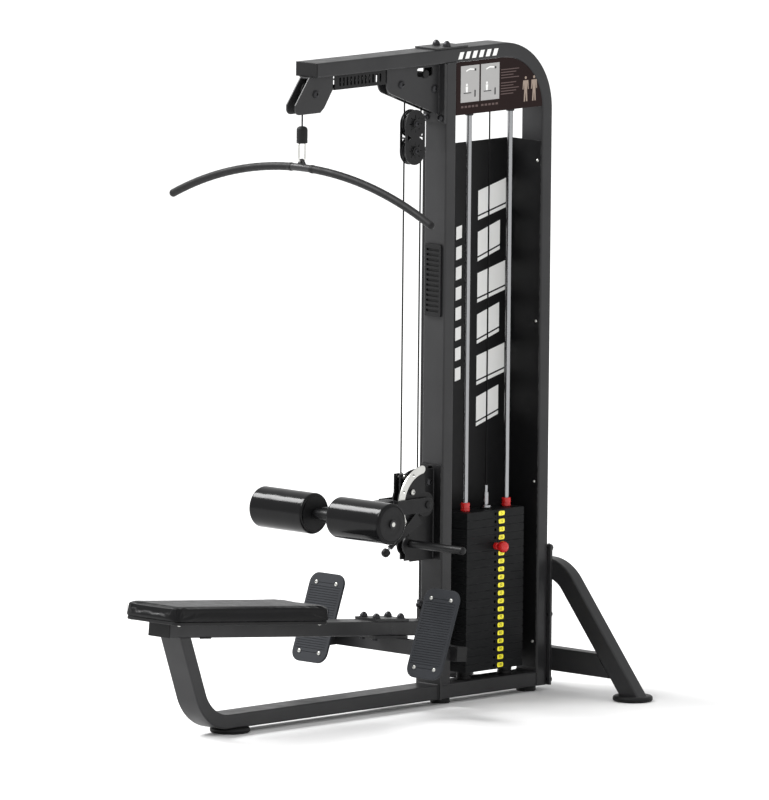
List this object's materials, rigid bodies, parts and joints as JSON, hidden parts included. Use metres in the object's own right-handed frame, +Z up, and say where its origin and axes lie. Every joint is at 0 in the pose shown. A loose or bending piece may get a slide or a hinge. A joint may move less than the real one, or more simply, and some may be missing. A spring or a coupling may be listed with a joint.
{
  "type": "lat pulldown machine",
  "caption": "Cable pulldown and low row station with a weight stack, a padded bench, knee rollers and a curved overhead bar.",
  "frame": {"origin": "the middle of the footprint, on the floor under the rubber feet", "axes": "+Z up; the user sits on the -Y side and faces +Y, towards the weight stack; X runs side to side along the bar"},
  "size_m": [1.2428, 2.016, 2.291],
  "materials": {
    "frame_paint": "satin charcoal powder coat with a fine texture",
    "black_paint": "matt black powder coat",
    "zinc": "zinc plated steel",
    "chrome": "polished chrome plate",
    "stack_steel": "black satin paint on steel plates",
    "rubber": "matt black rubber",
    "foot_rubber": "ribbed blue-grey rubber mat",
    "vinyl": "glossy black upholstery vinyl over foam",
    "board": "black plywood board",
    "black_plastic": "matt black nylon",
    "pulley_plastic": "matt black glass-filled nylon",
    "red_plastic": "glossy red plastic",
    "cable": "black nylon sleeve on a steel cable",
    "placard": "dark printed panel"
  },
  "bodies": {
    "frame": {"front_column": "frame_paint", "top_tube": "frame_paint", "tower_base": "frame_paint", "front_base": "frame_paint", "seat_rail": "frame_paint", "splice_plates": "frame_paint", "column_flange": "frame_paint", "foot_crossbeam": "frame_paint", "foot_plate_left": "foot_rubber", "foot_plate_right": "foot_rubber", "rear_leg_left": "frame_paint", "rear_leg_right": "frame_paint", "rear_link": "frame_paint", "rear_plate": "frame_paint", "rubber_feet": "rubber", "shroud": "black_paint", "placard": "placard", "guide_rods": "chrome", "rod_top_plate": "frame_paint", "stack_bumpers": "rubber", "weights_resting": "stack_steel", "front_pulley_bracket": "frame_paint", "gusset_bracket": "frame_paint", "axle_bolts": "zinc", "lat_cable_run": "cable", "lat_cable_loop": "cable", "row_cable": "cable", "row_cable_ends": "zinc", "knee_bracket": "black_paint", "sector_plate": "zinc", "rest_bar": "black_paint", "seat_pad": "vinyl", "seat_board": "board", "slotted_covers": "black_plastic", "fasteners": "zinc", "tube_caps": "black_plastic", "lat_cable_drop": "cable", "stack_cable": "cable"},
    "guide_wheel": {"guide_pulley": "pulley_plastic"},
    "front_wheel": {"front_pulley": "pulley_plastic"},
    "gusset_wheel": {"gusset_pulley": "pulley_plastic"},
    "column_wheel": {"column_pulley": "pulley_plastic"},
    "tower_wheel": {"tower_pulley": "pulley_plastic"},
    "floating_block": {"pulley_block": "black_paint"},
    "block_wheel_upper": {"block_sheave_upper": "pulley_plastic"},
    "block_wheel_lower": {"block_sheave_lower": "pulley_plastic"},
    "cable_end": {"cable_boot": "black_plastic"},
    "bar": {"lat_bar": "black_paint", "snap_hook": "chrome"},
    "stack": {"weights_lifted": "stack_steel", "selector_stem": "chrome", "stack_collars": "red_plastic", "lanyard": "cable"},
    "pin": {"selector_pin": "red_plastic"},
    "arm": {"knee_arm": "frame_paint", "roller_axle": "zinc"},
    "roller_l": {"roller_left": "vinyl"},
    "roller_r": {"roller_right": "vinyl"},
    "index_pin": {"pop_pin": "zinc"}
  },
  "joints": [
    {"name": "stack_lift", "type": "slide", "parent": "frame", "child": "stack", "axis": [0, 0, 1], "range_m": [0, 0.9], "deforming": ["stack_cable"]},
    {"name": "lat_bar_pull", "type": "slide", "parent": "frame", "child": "cable_end", "axis": [0, 0, -1], "range_m": [0, 0.9], "deforming": ["lat_cable_drop"]},
    {"name": "lat_bar_turn", "type": "hinge", "parent": "cable_end", "child": "bar", "pos_m": [0, -0.28694, 1.942], "axis": [0, 0, 1], "range_deg": [-45, 45]},
    {"name": "front_pulley_spin", "type": "hinge", "parent": "frame", "child": "front_wheel", "pos_m": [0, -0.24594, 2.158], "axis": [1, 0, 0], "continuous": true},
    {"name": "gusset_pulley_spin", "type": "hinge", "parent": "frame", "child": "gusset_wheel", "pos_m": [0, 0.17606, 2.158], "axis": [1, 0, 0], "continuous": true},
    {"name": "column_pulley_spin", "type": "hinge", "parent": "frame", "child": "column_wheel", "pos_m": [0, 0.34006, 2.131], "axis": [1, 0, 0], "continuous": true},
    {"name": "tower_pulley_spin", "type": "hinge", "parent": "frame", "child": "tower_wheel", "pos_m": [0, 0.60106, 2.131], "axis": [1, 0, 0], "continuous": true},
    {"name": "block_drop", "type": "slide", "parent": "frame", "child": "floating_block", "axis": [0, 0, -1], "range_m": [0, 0.4], "deforming": ["row_cable", "lat_cable_loop"]},
    {"name": "block_upper_spin", "type": "hinge", "parent": "floating_block", "child": "block_wheel_upper", "pos_m": [0, 0.25806, 2.0162], "axis": [1, 0, 0], "continuous": true},
    {"name": "block_lower_spin", "type": "hinge", "parent": "floating_block", "child": "block_wheel_lower", "pos_m": [0, 0.25806, 1.9218], "axis": [1, 0, 0], "continuous": true},
    {"name": "guide_pulley_spin", "type": "hinge", "parent": "frame", "child": "guide_wheel", "pos_m": [0, 0.34006, 0.773], "axis": [1, 0, 0], "continuous": true},
    {"name": "selector_pin_pull", "type": "slide", "parent": "stack", "child": "pin", "axis": [1, 0, 0], "range_m": [0, 0.08]},
    {"name": "knee_arm_tilt", "type": "hinge", "parent": "frame", "child": "arm", "pos_m": [0, 0.30606, 0.701], "axis": [-1, 0, 0], "range_deg": [0, 24]},
    {"name": "roller_left_spin", "type": "hinge", "parent": "arm", "child": "roller_l", "pos_m": [-0.18, -0.14594, 0.701], "axis": [1, 0, 0], "continuous": true},
    {"name": "roller_right_spin", "type": "hinge", "parent": "arm", "child": "roller_r", "pos_m": [0.18, -0.14594, 0.701], "axis": [1, 0, 0], "continuous": true},
    {"name": "pop_pin_pull", "type": "slide", "parent": "arm", "child": "index_pin", "axis": [0, -0.7986, -0.6018], "range_m": [-0.012, 0]}
  ],
  "couplings": [
    {"joint": "lat_bar_pull", "follows": "stack_lift", "ratio": 1},
    {"joint": "front_pulley_spin", "follows": "stack_lift", "rad_per_m": 24.39},
    {"joint": "gusset_pulley_spin", "follows": "stack_lift", "rad_per_m": 24.39},
    {"joint": "column_pulley_spin", "follows": "stack_lift", "rad_per_m": 24.39},
    {"joint": "tower_pulley_spin", "follows": "stack_lift", "rad_per_m": 24.39},
    {"joint": "block_upper_spin", "follows": "stack_lift", "rad_per_m": -24.39},
    {"joint": "block_lower_spin", "follows": "block_drop", "rad_per_m": -24.39},
    {"joint": "guide_pulley_spin", "follows": "block_drop", "rad_per_m": 48.781}
  ]
}
